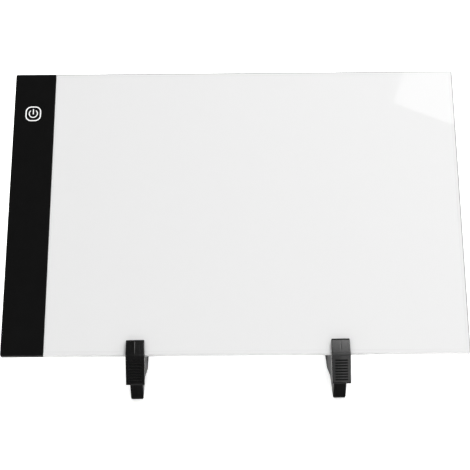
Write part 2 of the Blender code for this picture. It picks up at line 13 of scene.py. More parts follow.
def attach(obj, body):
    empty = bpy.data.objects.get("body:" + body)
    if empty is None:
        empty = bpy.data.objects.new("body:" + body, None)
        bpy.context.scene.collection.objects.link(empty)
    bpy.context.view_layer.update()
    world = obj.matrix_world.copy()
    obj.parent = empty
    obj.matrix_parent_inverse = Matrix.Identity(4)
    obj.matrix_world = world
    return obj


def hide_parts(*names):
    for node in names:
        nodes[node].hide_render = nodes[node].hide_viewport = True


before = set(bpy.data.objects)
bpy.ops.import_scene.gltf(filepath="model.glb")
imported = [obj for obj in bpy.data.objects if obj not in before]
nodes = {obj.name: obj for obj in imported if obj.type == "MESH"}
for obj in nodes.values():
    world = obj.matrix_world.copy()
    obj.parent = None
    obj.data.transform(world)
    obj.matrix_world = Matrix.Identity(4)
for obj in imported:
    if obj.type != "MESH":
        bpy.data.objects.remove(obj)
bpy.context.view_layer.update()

MM = 0.001

# ---------------------------------------------------------------- sizes, in mm
PAD_W, PAD_H, PAD_T = 335.0, 235.0, 4.0
STRIP_W, SEAM, PANEL_T, CORNER_R = 30.8, 0.2, 0.8, 1.3
RIM_Y0, RIM_Y1, RIM_W, RIM_L = 1.08, 2.88, 2.6, 1.6
COVER_Y = 2.95
KEY_X, KEY_Z = -152.87, 200.0
FOOT_R, FOOT_T, FOOT_X, FOOT_Z = 4.5, 1.6, 153.0, (20.0, 215.0)
USB_Z, USB_W, USB_H, USB_D = 150.0, 7.4, 2.3, 5.2
LEAN, SILL = math.radians(49.0), 41.2
CLIP_X, CLIP_TURN = (-71.1, 75.2), math.radians(1.0)
LIP_IN, LIP_OUT, LIP_TOP, KINK = 1.47, 3.6, 10.55, -2.0
LIP_TAPER, LIP_BOW = 1.30, 0.05
GRIP_LEAN, GRIP_L, GRIP_T = math.radians(22.0), 21.1, 2.8
LEVER_W, KEEL, ROOF = (13.1, 13.7, 13.4), 0.35, 0.1
RIB_N, RIB_PITCH, RIB_START, RIB_LEN = 8, 1.97, 4.55, 9.0
PIVOT = Vector((0.0, -7.7))
PIN_R, PIN_HOLE_R, PIN_L = 1.5, 1.8, 13.0
EAR_X0, EAR_X1, EAR_R = 4.5, 6.4, 3.1
CHEEK_X0, CHEEK_X1, CHEEK_R = 2.5, 4.2, 3.0
TOE_HALF, FOOT_HALF, FLARE_Y0, FLARE_Y1 = 4.6, 6.2, 44.5, 58.5
SOLE_T, HEEL_Y, TOE_Y = 1.2, 118.0, 11.3
JAW_GAP, JAW_T = 0.35, 1.0
SPRING_R, SPRING_WIRE, SPRING_TURNS = 2.4, 0.4, 4

# Side-view directions (y, z): up the pad, out of its face, down the grip, behind it.
U = Vector((math.sin(LEAN), math.cos(LEAN)))
N = Vector((-math.cos(LEAN), math.sin(LEAN)))
DOWN = Vector((-math.sin(GRIP_LEAN), -math.cos(GRIP_LEAN)))
BACK = Vector((math.cos(GRIP_LEAN), -math.sin(GRIP_LEAN)))


def at(a, b):
    """Point a up the pad and b in front of its face, as (y, z)."""
    return U * a + N * b


KINK_FRONT = at(KINK, LIP_OUT)
GRIP_END = KINK_FRONT + DOWN * GRIP_L
ORIGIN_Y = -(GRIP_END.x - KEEL * math.cos(GRIP_LEAN) + at(PAD_H, -PAD_T).x) / 2
PAD_M = Matrix.Translation((0, ORIGIN_Y * MM, SILL * MM)) @ Matrix.Rotation(-LEAN, 4, "X")
CLIP_M = {s: Matrix.Translation((x * MM, ORIGIN_Y * MM, SILL * MM)) @ Matrix.Rotation(CLIP_TURN, 4, "Z")
          for s, x in zip(("left", "right"), CLIP_X)}
HW = PAD_W / 2
SPLIT_X = -HW + STRIP_W


# ------------------------------------------------------------------ materials
def coords(nt):
    return nt.nodes.new("ShaderNodeTexCoord").outputs["Object"]


def noise_at(nt, vec, scale, detail=2.0, rough=0.5):
    n = nt.nodes.new("ShaderNodeTexNoise")
    n.inputs["Scale"].default_value = scale
    n.inputs["Detail"].default_value = detail
    n.inputs["Roughness"].default_value = rough
    nt.links.new(vec, n.inputs["Vector"])
    return n.outputs["Fac"]


def spread(nt, fac, lo, hi, a=0.3, b=0.7, smooth=False):
    m = nt.nodes.new("ShaderNodeMapRange")
    if smooth:
        m.interpolation_type = "SMOOTHSTEP"
    m.inputs["From Min"].default_value, m.inputs["From Max"].default_value = a, b
    m.inputs["To Min"].default_value, m.inputs["To Max"].default_value = lo, hi
    nt.links.new(fac, m.inputs["Value"])
    return m.outputs["Result"]


def maths(nt, op, a, b=None, c=None):
    m = nt.nodes.new("ShaderNodeMath")
    m.operation = op
    for i, v in enumerate((a, b, c)):
        if v is None:
            continue
        if isinstance(v, (int, float)):
            m.inputs[i].default_value = v
        else:
            nt.links.new(v, m.inputs[i])
    return m.outputs[0]


def mix_colour(nt, fac, a, b):
    m = nt.nodes.new("ShaderNodeMix")
    m.data_type = "RGBA"
    if isinstance(fac, (int, float)):
        m.inputs[0].default_value = fac
    else:
        nt.links.new(fac, m.inputs[0])
    for i, v in ((6, a), (7, b)):
        if isinstance(v, (tuple, list)):
            m.inputs[i].default_value = (*v, 1.0)
        else:
            nt.links.new(v, m.inputs[i])
    return m.outputs[2]


def bump(nt, height, strength, distance):
    b = nt.nodes.new("ShaderNodeBump")
    b.inputs["Strength"].default_value = strength
    b.inputs["Distance"].default_value = distance
    nt.links.new(height, b.inputs["Height"])
    return b.outputs["Normal"]


def stretched(nt, vec, scale):
    m = nt.nodes.new("ShaderNodeMapping")
    m.inputs["Scale"].default_value = scale
    nt.links.new(vec, m.inputs["Vector"])
    return m.outputs["Vector"]


def new_material(name, metal=0.0, specular=0.5, ior=1.5, coat=0.0, coat_rough=0.1, sheen=0.0):
    m = bpy.data.materials.new(name)
    m.use_nodes = True
    nt = m.node_tree
    b = nt.nodes["Principled BSDF"]
    b.inputs["Metallic"].default_value = metal
    b.inputs["Specular IOR Level"].default_value = specular
    b.inputs["IOR"].default_value = ior
    b.inputs["Coat Weight"].default_value = coat
    b.inputs["Coat Roughness"].default_value = coat_rough
    b.inputs["Sheen Weight"].default_value = sheen
    return m, nt, b


def moulded(name, dark, light, rough, grain=2600.0, depth=0.00002, strength=0.25, specular=0.5, wear=None):
    """Moulded plastic or rubber: mottled colour, grain and handling marks."""
    m, nt, b = new_material(name, specular=specular)
    vec = coords(nt)
    mottled = noise_at(nt, vec, 90.0, 3.0)
    colour = mix_colour(nt, spread(nt, mottled, 0.0, 1.0), dark, light)
    nt.links.new(colour, b.inputs["Base Color"])
    marks = noise_at(nt, vec, 260.0, 4.0, 0.6)
    nt.links.new(spread(nt, marks, rough[0], rough[1]), b.inputs["Roughness"])
    fine = noise_at(nt, vec, grain, 2.0, 0.55)
    nt.links.new(bump(nt, fine, strength, depth), b.inputs["Normal"])
    return m


def metal(name, dark, light, rough, direction=(1.0, 1.0, 1.0), scale=1800.0, strength=0.12):
    """Plated or drawn metal: fine streaks along one direction."""
    m, nt, b = new_material(name, metal=1.0)
    vec = stretched(nt, coords(nt), direction)
    streak = noise_at(nt, vec, scale, 4.0, 0.6)
    nt.links.new(mix_colour(nt, spread(nt, streak, 0.0, 1.0), dark, light), b.inputs["Base Color"])
    nt.links.new(spread(nt, streak, rough[0], rough[1]), b.inputs["Roughness"])
    nt.links.new(bump(nt, streak, strength, 0.00001), b.inputs["Normal"])
    return m


def panel_material():
    """Frosted white light box seen through glossy acrylic, unlit."""
    m, nt, b = new_material("frosted_acrylic", specular=0.5, ior=1.49)
    vec = coords(nt)
    sep = nt.nodes.new("ShaderNodeSeparateXYZ")
    nt.links.new(vec, sep.inputs[0])
    x = sep.outputs["X"]
    # height up the sheet, from its lower edge
    z = maths(nt, "MULTIPLY_ADD", sep.outputs["Z"], U.y, -(ORIGIN_Y * U.x + SILL * U.y) * MM)
    z = maths(nt, "MULTIPLY_ADD", sep.outputs["Y"], U.x, z)
    # distance in from the panel's three free edges, and from the strip's side
    right = maths(nt, "SUBTRACT", HW * MM, x)
    top = maths(nt, "SUBTRACT", PAD_H * MM, z)
    edge = maths(nt, "MINIMUM", maths(nt, "MINIMUM", right, top), z)
    left = maths(nt, "SUBTRACT", x, SPLIT_X * MM)
    inward = maths(nt, "MINIMUM", edge, maths(nt, "ADD", left, 0.0011))
    # painted shade along the sheet's free edges (its clear rim, shown dark; faint along the bottom edge), the frame
    # showing behind it, then the lit area
    free = maths(nt, "MINIMUM", maths(nt, "MINIMUM", right, top), maths(nt, "ADD", left, 0.0011))
    rim = maths(nt, "MAXIMUM", spread(nt, free, 1.0, 0.0, 0.00060, 0.00110, True),
                spread(nt, z, 0.12, 0.0, 0.00050, 0.00095, True))
    band = spread(nt, inward, 1.0, 0.0, 0.0024, 0.0026, True)
    line = maths(nt, "SUBTRACT", spread(nt, inward, 0.0, 1.0, 0.0022, 0.0025, True),
                 spread(nt, inward, 0.0, 1.0, 0.0027, 0.0031, True))
    # extractor lines of the light guide, hardly seen when it is off
    lines = maths(nt, "SINE", maths(nt, "MULTIPLY", x, 2 * math.pi / 0.0016))
    cloudy = noise_at(nt, vec, 14.0, 3.0)
    tone = maths(nt, "ADD", maths(nt, "MULTIPLY", lines, 0.5), 0.5)
    white = mix_colour(nt, tone, PANEL_LO, PANEL_HI)
    white = mix_colour(nt, spread(nt, cloudy, 0.0, 0.25), white, PANEL_LO)
    white = mix_colour(nt, maths(nt, "MULTIPLY", band, 0.5), white, PANEL_BAND)
    white = mix_colour(nt, maths(nt, "MULTIPLY", line, 0.6), white, PANEL_LINE)
    # painted shade: the dark rim along the sheet's free edges
    white = mix_colour(nt, rim, white, PANEL_EDGE_SHADE)
    nt.links.new(white, b.inputs["Base Color"])
    smudge = noise_at(nt, vec, 22.0, 5.0, 0.6)
    nt.links.new(spread(nt, smudge, 0.006, 0.012), b.inputs["Roughness"])
    sheet = noise_at(nt, vec, 9.0, 1.0)
    nt.links.new(bump(nt, sheet, 0.06, 0.001), b.inputs["Normal"])
    return m


PANEL_HI, PANEL_LO = (0.660, 0.660, 0.660), (0.656, 0.656, 0.656)
# the rim tone is painted shade for the dark edge of the clear sheet
PANEL_BAND, PANEL_LINE, PANEL_EDGE_SHADE = (0.648, 0.648, 0.648), (0.61, 0.61, 0.61), (0.32, 0.32, 0.32)



def housing_material(name, dark, light):
    """Moulded housing with a black end round the control strip."""
    m, nt, b = new_material(name, specular=0.4)
    vec = coords(nt)
    sep = nt.nodes.new("ShaderNodeSeparateXYZ")
    nt.links.new(vec, sep.inputs[0])
    end = maths(nt, "LESS_THAN", sep.outputs["X"], SPLIT_X * MM)
    mottled = spread(nt, noise_at(nt, vec, 90.0, 3.0), 0.0, 1.0)
    white = mix_colour(nt, mottled, dark, light)
    black = mix_colour(nt, mottled, (0.0040, 0.0040, 0.0040), (0.0058, 0.0058, 0.0058))
    nt.links.new(mix_colour(nt, end, white, black), b.inputs["Base Color"])
    nt.links.new(spread(nt, noise_at(nt, vec, 260.0, 4.0, 0.6), 0.42, 0.52), b.inputs["Roughness"])
    fine = noise_at(nt, vec, 2200.0, 2.0, 0.55)
    nt.links.new(bump(nt, fine, 0.35, 0.00003), b.inputs["Normal"])
    return m


ACRYLIC = panel_material()
STRIP = moulded("black_strip", (0.0018, 0.0018, 0.0018), (0.0023, 0.0023, 0.0023), (0.42, 0.50), grain=3400.0,
                depth=0.00001, strength=0.12, specular=0.05)
INK = moulded("white_print", (0.84, 0.84, 0.84), (0.90, 0.90, 0.90), (0.45, 0.55), grain=6000.0, depth=0.000005,
              strength=0.2)
WHITE = housing_material("white_frame", (0.52, 0.52, 0.517), (0.56, 0.56, 0.557))
BACKWHITE = housing_material("white_cover", (0.398, 0.398, 0.396), (0.406, 0.406, 0.404))
NYLON = moulded("black_nylon", (0.0030, 0.0030, 0.0030), (0.0044, 0.0044, 0.0044), (0.13, 0.16), grain=2400.0,
                depth=0.000015, strength=0.14, specular=0.62)
BEND = moulded("black_nylon_bend", (0.0030, 0.0030, 0.0030), (0.0044, 0.0044, 0.0044), (0.34, 0.40), grain=2400.0,
               depth=0.000012, strength=0.12, specular=0.5)
# a duller, slightly darker copy of the lever nylon: painted shade for the grooves, the grip's end and the lip's top
# edge
GROOVE_SHADE_NYLON = moulded("black_nylon_painted_groove_shade", (0.0030, 0.0030, 0.0030), (0.0040, 0.0040, 0.0040), (0.50, 0.62),
                  grain=4200.0, depth=0.00002, strength=0.4, specular=0.10)
# a darker, less glossy copy of the stand nylon: painted shade on the toe's front faces
TOE_SHADE_NYLON = moulded("black_nylon_toe_painted_shade", (0.0015, 0.0015, 0.0015), (0.0022, 0.0022, 0.0022), (0.50, 0.62),
                   grain=3000.0, depth=0.00002, strength=0.3, specular=0.03)
NYLON_MATT = moulded("black_nylon_matt", (0.0018, 0.0018, 0.0018), (0.0028, 0.0028, 0.0028), (0.46, 0.54),
                     grain=1900.0, depth=0.00002, strength=0.2, specular=0.12)
RUBBER = moulded("black_rubber", (0.010, 0.010, 0.010), (0.017, 0.017, 0.017), (0.62, 0.78), grain=3000.0,
                 depth=0.00004, strength=0.4, specular=0.35)
GREYRUBBER = moulded("grey_rubber", (0.10, 0.10, 0.10), (0.135, 0.135, 0.135), (0.7, 0.85), grain=2600.0,
                     depth=0.00004, strength=0.4, specular=0.35)
FILM = moulded("diffuser_film", (0.85, 0.85, 0.85), (0.90, 0.90, 0.90), (0.5, 0.6), grain=5200.0, depth=0.00001)
MIRROR = moulded("reflector_film", (0.88, 0.88, 0.88), (0.93, 0.93, 0.93), (0.18, 0.28), grain=900.0, depth=0.00001)
TAPE = moulded("bonding_tape", (0.66, 0.66, 0.64), (0.74, 0.74, 0.72), (0.65, 0.8), grain=1400.0, depth=0.00005,
               strength=0.5)
CHIP = moulded("chip_black", (0.016, 0.016, 0.016), (0.024, 0.024, 0.024), (0.45, 0.55), grain=9000.0, depth=0.00001)
RED = moulded("red_wire", (0.38, 0.015, 0.015), (0.46, 0.022, 0.022), (0.35, 0.45), grain=4000.0, depth=0.00001)
BLACKWIRE = moulded("black_wire", (0.014, 0.014, 0.014), (0.022, 0.022, 0.022), (0.35, 0.45), grain=4000.0,
                    depth=0.00001)
STEEL = metal("plated_steel", (0.56, 0.56, 0.56), (0.66, 0.66, 0.66), (0.22, 0.34), (0.2, 1.0, 1.0))
SPRING = metal("spring_steel", (0.40, 0.40, 0.41), (0.50, 0.50, 0.51), (0.26, 0.4), (1.0, 0.3, 0.3), 2600.0)
COPPER = metal("tinned_copper", (0.66, 0.56, 0.42), (0.76, 0.66, 0.52), (0.28, 0.42), (1.0, 1.0, 1.0), 1200.0)


def guide_material():
    """Clear guide with its printed extractor dots."""
    m, nt, b = new_material("clear_guide", specular=0.5, ior=1.49)
    vec = coords(nt)
    v = nt.nodes.new("ShaderNodeTexVoronoi")
    v.inputs["Scale"].default_value = 700.0
    v.inputs["Randomness"].default_value = 0.15
    nt.links.new(vec, v.inputs["Vector"])
    dots = spread(nt, v.outputs["Distance"], 1.0, 0.0, 0.22, 0.30)
    nt.links.new(mix_colour(nt, dots, (0.76, 0.83, 0.83), (0.92, 0.94, 0.94)), b.inputs["Base Color"])
    nt.links.new(spread(nt, dots, 0.05, 0.5, 0.0, 1.0), b.inputs["Roughness"])
    return m


def board_material(name, mask, track):
    """Circuit board: solder resist with tracks under it and a woven core."""
    m, nt, b = new_material(name, specular=0.5)
    vec = coords(nt)
    br = nt.nodes.new("ShaderNodeTexBrick")
    br.inputs["Scale"].default_value = 260.0
    br.inputs["Mortar Size"].default_value = 0.09
    br.inputs["Color1"].default_value = (*mask, 1)
    br.inputs["Color2"].default_value = (mask[0] * 0.9, mask[1] * 0.9, mask[2] * 0.9, 1)
    br.inputs["Mortar"].default_value = (*track, 1)
    nt.links.new(vec, br.inputs["Vector"])
    nt.links.new(br.outputs["Color"], b.inputs["Base Color"])
    fine = noise_at(nt, vec, 3000.0)
    nt.links.new(spread(nt, fine, 0.28, 0.42), b.inputs["Roughness"])
    nt.links.new(bump(nt, br.outputs["Fac"], 0.3, 0.00003), b.inputs["Normal"])
    return m


GUIDE = guide_material()
BOARD = board_material("green_board", (0.012, 0.13, 0.05), (0.03, 0.24, 0.10))
LEDBOARD = board_material("white_led_board", (0.78, 0.78, 0.74), (0.66, 0.66, 0.60))


# -------------------------------------------------------------------- geometry
def fillet(points, seg=6):
    """Closed outline [(a, b, radius)] -> list of points per corner."""
    out = []
    n = len(points)
    for i in range(n):
        p = Vector(points[i][:2])
        r = points[i][2]
        a = (Vector(points[i - 1][:2]) - p).normalized()
        b = (Vector(points[(i + 1) % n][:2]) - p).normalized()
        if r <= 0:
            out.append([p.copy()])
            continue
        ang = a.angle(b)
        reach = r / math.tan(ang / 2)
        s, e = p + a * reach, p + b * reach
        c = p + (a + b).normalized() * (r / math.sin(ang / 2))
        va, vb = s - c, e - c
        total = va.angle_signed(vb)
        out.append([c + Matrix.Rotation(-total * k / seg, 2) @ va for k in range(seg + 1)])
    return out


def flat(groups):
    return [p for g in groups for p in g]


def area(points):
    return sum(points[i - 1].x * points[i].y - points[i].x * points[i - 1].y for i in range(len(points))) / 2


def inward(points):
    """Mitred inward direction at each point of a closed outline."""
    sign = 1.0 if area(points) > 0 else -1.0
    n = len(points)
    out = []
    for i in range(n):
        d1 = (points[i] - points[i - 1]).normalized()
        d2 = (points[(i + 1) % n] - points[i]).normalized()
        n1 = Vector((-d1.y, d1.x)) * sign
        n2 = Vector((-d2.y, d2.x)) * sign
        out.append((n1 + n2) / max(1.0 + n1.dot(n2), 0.2))
    return out


def round_steps(r, seg):
    """(depth from the face, inset) pairs that round an edge of radius r."""
    return [(r * (1 - math.cos(math.radians(90.0 * k / seg))), r * (1 - math.sin(math.radians(90.0 * k / seg))))
            for k in range(seg + 1)]


def loft(bm, rings, caps=True, close=False):
    """Skin rings of equal length, given as lists of 3-D points."""
    made = [[bm.verts.new(p) for p in ring] for ring in rings]
    n = len(made[0])
    pairs = list(zip(made, made[1:])) + ([(made[-1], made[0])] if close else [])
    for a, b in pairs:
        for i in range(n):
            j = (i + 1) % n
            bm.faces.new((a[i], a[j], b[j], b[i]))
    if caps:
        bm.faces.new(list(reversed(made[0])))
        bm.faces.new(made[-1])
    return made


def pillow(points, h0, h1, r0, r1, place, seg=4):
    """Outline raised from h0 to h1 with its two rims rounded; place(p, h) -> 3-D."""
    inn = inward(points)
    levels = [(h0 + d, i) for d, i in round_steps(r0, seg)] if r0 > 0 else [(h0, 0.0)]
    levels += [(h1 - d, i) for d, i in reversed(round_steps(r1, seg))] if r1 > 0 else [(h1, 0.0)]
    bm = bmesh.new()
    loft(bm, [[place(p + m * inset, h) for p, m in zip(points, inn)] for h, inset in levels])
    return finish(bm)


def finish(bm):
    bmesh.ops.recalc_face_normals(bm, faces=bm.faces)
    for v in bm.verts:
        v.co *= MM
    me = bpy.data.meshes.new("m")
    bm.to_mesh(me)
    bm.free()
    return me


def joined(meshes):
    bm = bmesh.new()
    for m in meshes:
        bm.from_mesh(m)
    me = bpy.data.meshes.new("m")
    bm.to_mesh(me)
    bm.free()
    return me


def boolean(mesh, others, operation):
    base = bpy.data.objects.new("base", mesh)
    bpy.context.scene.collection.objects.link(base)
    used = []
    for i, other in enumerate(others):
        c = bpy.data.objects.new("cutter", other)
        bpy.context.scene.collection.objects.link(c)
        m = base.modifiers.new("cut%d" % i, "BOOLEAN")
        m.operation, m.solver, m.object = operation, "EXACT", c
        used.append(c)
    bpy.context.view_layer.update()
    out = bpy.data.meshes.new_from_object(base.evaluated_get(bpy.context.evaluated_depsgraph_get()))
    for o in [base] + used:
        bpy.data.objects.remove(o, do_unlink=True)
    return out


def soften_rims(mesh, pick, width, seg=2):
    """Rounds the edges that pick(edge) chooses; lengths in metres."""
    bm = bmesh.new()
    bm.from_mesh(mesh)
    bmesh.ops.remove_doubles(bm, verts=bm.verts, dist=2e-6)
    chosen = [e for e in bm.edges if len(e.link_faces) == 2 and pick(e)]
    if chosen:
        bmesh.ops.bevel(bm, geom=chosen, offset=width, segments=seg, profile=0.5, affect="EDGES",
                        clamp_overlap=True)
    bm.to_mesh(mesh)
    bm.free()
    return mesh


def box(x0, x1, y0, y1, z0, z1, turn=None):
    bm = bmesh.new()
    bmesh.ops.create_cube(bm, size=1.0)
    for v in bm.verts:
        v.co = Vector(((x0 + x1) / 2 + v.co.x * (x1 - x0), (y0 + y1) / 2 + v.co.y * (y1 - y0),
                       (z0 + z1) / 2 + v.co.z * (z1 - z0)))
    if turn is not None:
        bm.transform(turn)
    return finish(bm)


def turned(points, centre, axis, steps=48):
    """Solid of revolution: (radius, height) points, closed on the axis."""
    bm = bmesh.new()
    verts = [bm.verts.new((r, 0.0, h)) for r, h in points]
    edges = [bm.edges.new((verts[i], verts[i + 1])) for i in range(len(verts) - 1)]
    bmesh.ops.spin(bm, geom=verts + edges, cent=(0, 0, 0), axis=(0, 0, 1), dvec=(0, 0, 0),
                   angle=2 * math.pi, steps=steps, use_merge=False, use_duplicate=False)
    bmesh.ops.remove_doubles(bm, verts=bm.verts, dist=1e-4)
    turn = {"x": Matrix.Rotation(math.pi / 2, 4, "Y"), "y": Matrix.Rotation(-math.pi / 2, 4, "X"),
            "z": Matrix.Identity(4)}[axis]
    bm.transform(Matrix.Translation(centre) @ turn)
    return finish(bm)


def side(p, x):
    """Side-view outline point (y, z) at width x."""
    return Vector((x, p.x, p.y))


def face(p, d):
    """Pad outline point (x, z) at depth d behind its face."""
    return Vector((p.x, d, p.y))


def plan(p, h):
    """Plan outline point (x, y) at height h."""
    return Vector((p.x, p.y, h))


def keep_flats_flat(ob):
    """Area-weighted normals, so that a rounded rim doesn't bend the face beside it.
    They are worked out at a thousand times the size, because tiny areas count as none."""
    ob.data.transform(Matrix.Scale(1 / MM, 4))
    mod = ob.modifiers.new("normals", "WEIGHTED_NORMAL")
    mod.mode, mod.weight, mod.keep_sharp = "FACE_AREA", 100, True
    bpy.context.view_layer.update()
    deps = bpy.context.evaluated_depsgraph_get()
    ob.data = bpy.data.meshes.new_from_object(ob.evaluated_get(deps), preserve_all_data_layers=True, depsgraph=deps)
    ob.modifiers.clear()
    ob.data.transform(Matrix.Scale(MM, 4))


def piece(name, mesh, mat, place, body, stands_for=(), angle=32.0):
    ob = bpy.data.objects.new(name, mesh)
    bpy.context.scene.collection.objects.link(ob)
    if mat is not None:
        mesh.materials.clear()
        mesh.materials.append(mat)
    mesh.transform(place)
    mesh.shade_smooth()
    mesh.set_sharp_from_angle(angle=math.radians(angle))
    keep_flats_flat(ob)
    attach(ob, body)
    if stands_for:
        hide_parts(*stands_for)
    return ob


def rectangle(x0, x1, z0, z1, r00, r10, r11, r01, seg=6):
    """Rounded rectangle; radii at (x0,z0), (x1,z0), (x1,z1), (x0,z1)."""
    return flat(fillet([(x0, z0, r00), (x1, z0, r10), (x1, z1, r11), (x0, z1, r01)], seg))


# ------------------------------------------------------------------ the pad
panel = pillow(rectangle(SPLIT_X + SEAM / 2, HW, 0, PAD_H, 0.25, CORNER_R, CORNER_R, 0.25), 0.0, PANEL_T,
               0.33, 0.08, face)
piece("tracing_panel", panel, ACRYLIC, PAD_M, "pad", ["front_panel"])

strip = pillow(rectangle(-HW, SPLIT_X - SEAM / 2, 0, PAD_H, CORNER_R, 0.25, 0.25, CORNER_R), 0.0, PANEL_T,
               0.33, 0.08, face)
piece("touch_strip", strip, STRIP, PAD_M, "pad", ["control_strip"])


ICON_W, ICON_H, ICON_R, ICON_LINE = 11.8, 12.9, 4.6, 0.86
RING_W, RING_H, RING_LINE, RING_GAP = 3.10, 3.32, 0.70, math.radians(43)
PROUD, soft = 0.04, 0.03
outer = rectangle(KEY_X - ICON_W / 2, KEY_X + ICON_W / 2, KEY_Z - ICON_H / 2 - 0.1, KEY_Z + ICON_H / 2 - 0.1,
                  ICON_R, ICON_R, ICON_R, ICON_R, 14)
inn = inward(outer)
bm = bmesh.new()
ring_in = [p + m * ICON_LINE for p, m in zip(outer, inn)]
loft(bm, [[face(p, 0.02) for p in outer], [face(p, -PROUD + soft) for p in outer],
          [face(p + m * soft, -PROUD) for p, m in zip(outer, inn)],
          [face(p - m * soft, -PROUD) for p, m in zip(ring_in, inn)],
          [face(p, -PROUD + soft) for p in ring_in], [face(p, 0.02) for p in ring_in]], caps=False, close=True)
icon = [finish(bm)]


def stroke(path, width):
    """Outline of a line drawn along a path, with round ends."""
    n, r = len(path), width / 2
    way = [(path[min(i + 1, n - 1)] - path[max(i - 1, 0)]).normalized() for i in range(n)]
    left = [p + Vector((-w.y, w.x)) * r for p, w in zip(path, way)]
    right = [p - Vector((-w.y, w.x)) * r for p, w in zip(path, way)]

    def cap(p, w, sign):
        a = math.atan2(w.y * sign, w.x * sign)
        return [p + Vector((math.cos(a + math.pi / 2 - math.pi * k / 8), math.sin(a + math.pi / 2 - math.pi * k / 8))) * r
                for k in range(1, 8)]

    return left + cap(path[-1], way[-1], 1) + right[::-1] + cap(path[0], way[0], -1)


def squircle(a, rx, rz, n=2.05):
    c, s_ = math.cos(a), math.sin(a)
    return Vector((KEY_X + rx * math.copysign(abs(c) ** (2 / n), c),
                   KEY_Z + 0.05 + rz * math.copysign(abs(s_) ** (2 / n), s_)))


turns = 2 * math.pi - 2 * RING_GAP
broken = [squircle(math.pi / 2 + RING_GAP + turns * k / 120, RING_W, RING_H) for k in range(121)]
even = [broken[0]]
for p in broken[1:]:
    if (p - even[-1]).length > 0.16:
        even.append(p)
icon.append(pillow(stroke(even, RING_LINE), -PROUD, 0.02, soft, 0, face, 2))
icon.append(pillow(stroke([Vector((KEY_X, KEY_Z - 0.25 + 4.0 * k / 8)) for k in range(9)], 0.74),
                   -PROUD, 0.02, soft, 0, face, 2))
piece("power_symbol", joined(icon), INK, PAD_M, "pad")

# edge frame, open where the power inlet sits
out_pts = rectangle(-HW, HW, 0, PAD_H, CORNER_R, CORNER_R, CORNER_R, CORNER_R)
in_pts = rectangle(-HW + RIM_L, HW - RIM_W, RIM_W, PAD_H - RIM_W, 1.0, 1.0, 1.0, 1.0)
oi, ii = inward(out_pts), inward(in_pts)
e = 0.14
bm = bmesh.new()
rings = []
for d, inset in round_steps(e, 3):
    rings.append([face(p + m * inset, RIM_Y0 + d) for p, m in zip(out_pts, oi)])
for d, inset in reversed(round_steps(e, 3)):
    rings.append([face(p + m * inset, RIM_Y1 - d) for p, m in zip(out_pts, oi)])
rings.append([face(p, RIM_Y1) for p in in_pts])
rings.append([face(p, RIM_Y0) for p in in_pts])
loft(bm, rings, caps=False, close=True)
edge = finish(bm)
usb_y0 = RIM_Y0 + 0.02
usb_y1 = usb_y0 + USB_H + 0.22
uz0, uz1 = USB_Z - USB_W / 2 - 0.4, USB_Z + USB_W / 2 + 0.4
edge = boolean(edge, [box(-HW - 2, -HW + RIM_L + 0.6, RIM_Y0 - 1, RIM_Y1 + 1, uz0, uz1)], "DIFFERENCE")
piece("side_frame", edge, WHITE, PAD_M, "pad", ["edge_frame"])

# back cover: its rear rim is a chamfer with eased corners
bm = bmesh.new()
loft(bm, [[face(p + m * i, h) for p, m in zip(out_pts, oi)] for h, i in (
    (COVER_Y, 0.08), (COVER_Y + 0.02, 0.03), (COVER_Y + 0.08, 0.0), (PAD_T - 0.86, 0.0), (PAD_T - 0.76, 0.01),
    (PAD_T - 0.66, 0.05), (PAD_T - 0.56, 0.14), (PAD_T - 0.14, 0.56), (PAD_T - 0.05, 0.66), (PAD_T - 0.01, 0.76),
    (PAD_T, 0.86))])
cover = finish(bm)
cover = boolean(cover, [box(-HW - 2, -HW + USB_D + 0.9, COVER_Y - 1, usb_y1, uz0, uz1)], "DIFFERENCE")
piece("back_cover", cover, BACKWHITE, PAD_M, "pad", ["rear_cover"])

foot_profile = [(0, FOOT_T - 0.12), (FOOT_R - 1.7, FOOT_T - 0.12), (FOOT_R - 1.45, FOOT_T - 0.02)]
foot_profile += [(FOOT_R - 0.55 + 0.55 * math.sin(math.radians(a)), FOOT_T - 0.55 + 0.55 * math.cos(math.radians(a)))
                 for a in (0, 18, 36, 54, 72, 90)]
foot_profile += [(FOOT_R, 0.1), (FOOT_R - 0.1, 0.0), (0, 0.0)]
for name, sx, z in (("upper_left", -1, FOOT_Z[1]), ("upper_right", 1, FOOT_Z[1]),
                    ("lower_left", -1, FOOT_Z[0]), ("lower_right", 1, FOOT_Z[0])):
    mesh = turned(foot_profile, (sx * FOOT_X, PAD_T + 0.06, z), "y", 56)
    piece("pad_foot_" + name, mesh, GREYRUBBER, PAD_M, "pad", ["rubber_foot_" + name])

# --------------------------------------------------------------- clamp levers
p0, d0 = at(0, LIP_IN), U
p1, d1 = KINK_FRONT + BACK * GRIP_T, DOWN
det = d0.x * (-d1.y) - (-d1.x) * d0.y
rhs = p1 - p0
LIP_KINK_REAR = p0 + d0 * ((rhs.x * (-d1.y) - (-d1.x) * rhs.y) / det)
GROOVE = ((-0.58, 0.0), (-0.50, 0.03), (-0.44, 0.12), (-0.38, 0.46), (-0.28, 0.60), (0.0, 0.65),
          (0.28, 0.60), (0.38, 0.46), (0.44, 0.12), (0.50, 0.03), (0.58, 0.0))


def lip_face(a):
    """Front of the lip at height a: it thins toward its tip, more so near the tip."""
    t = (a - KINK) / (LIP_TOP - KINK)
    return at(a, LIP_OUT - LIP_TAPER * t - LIP_BOW * t * t)


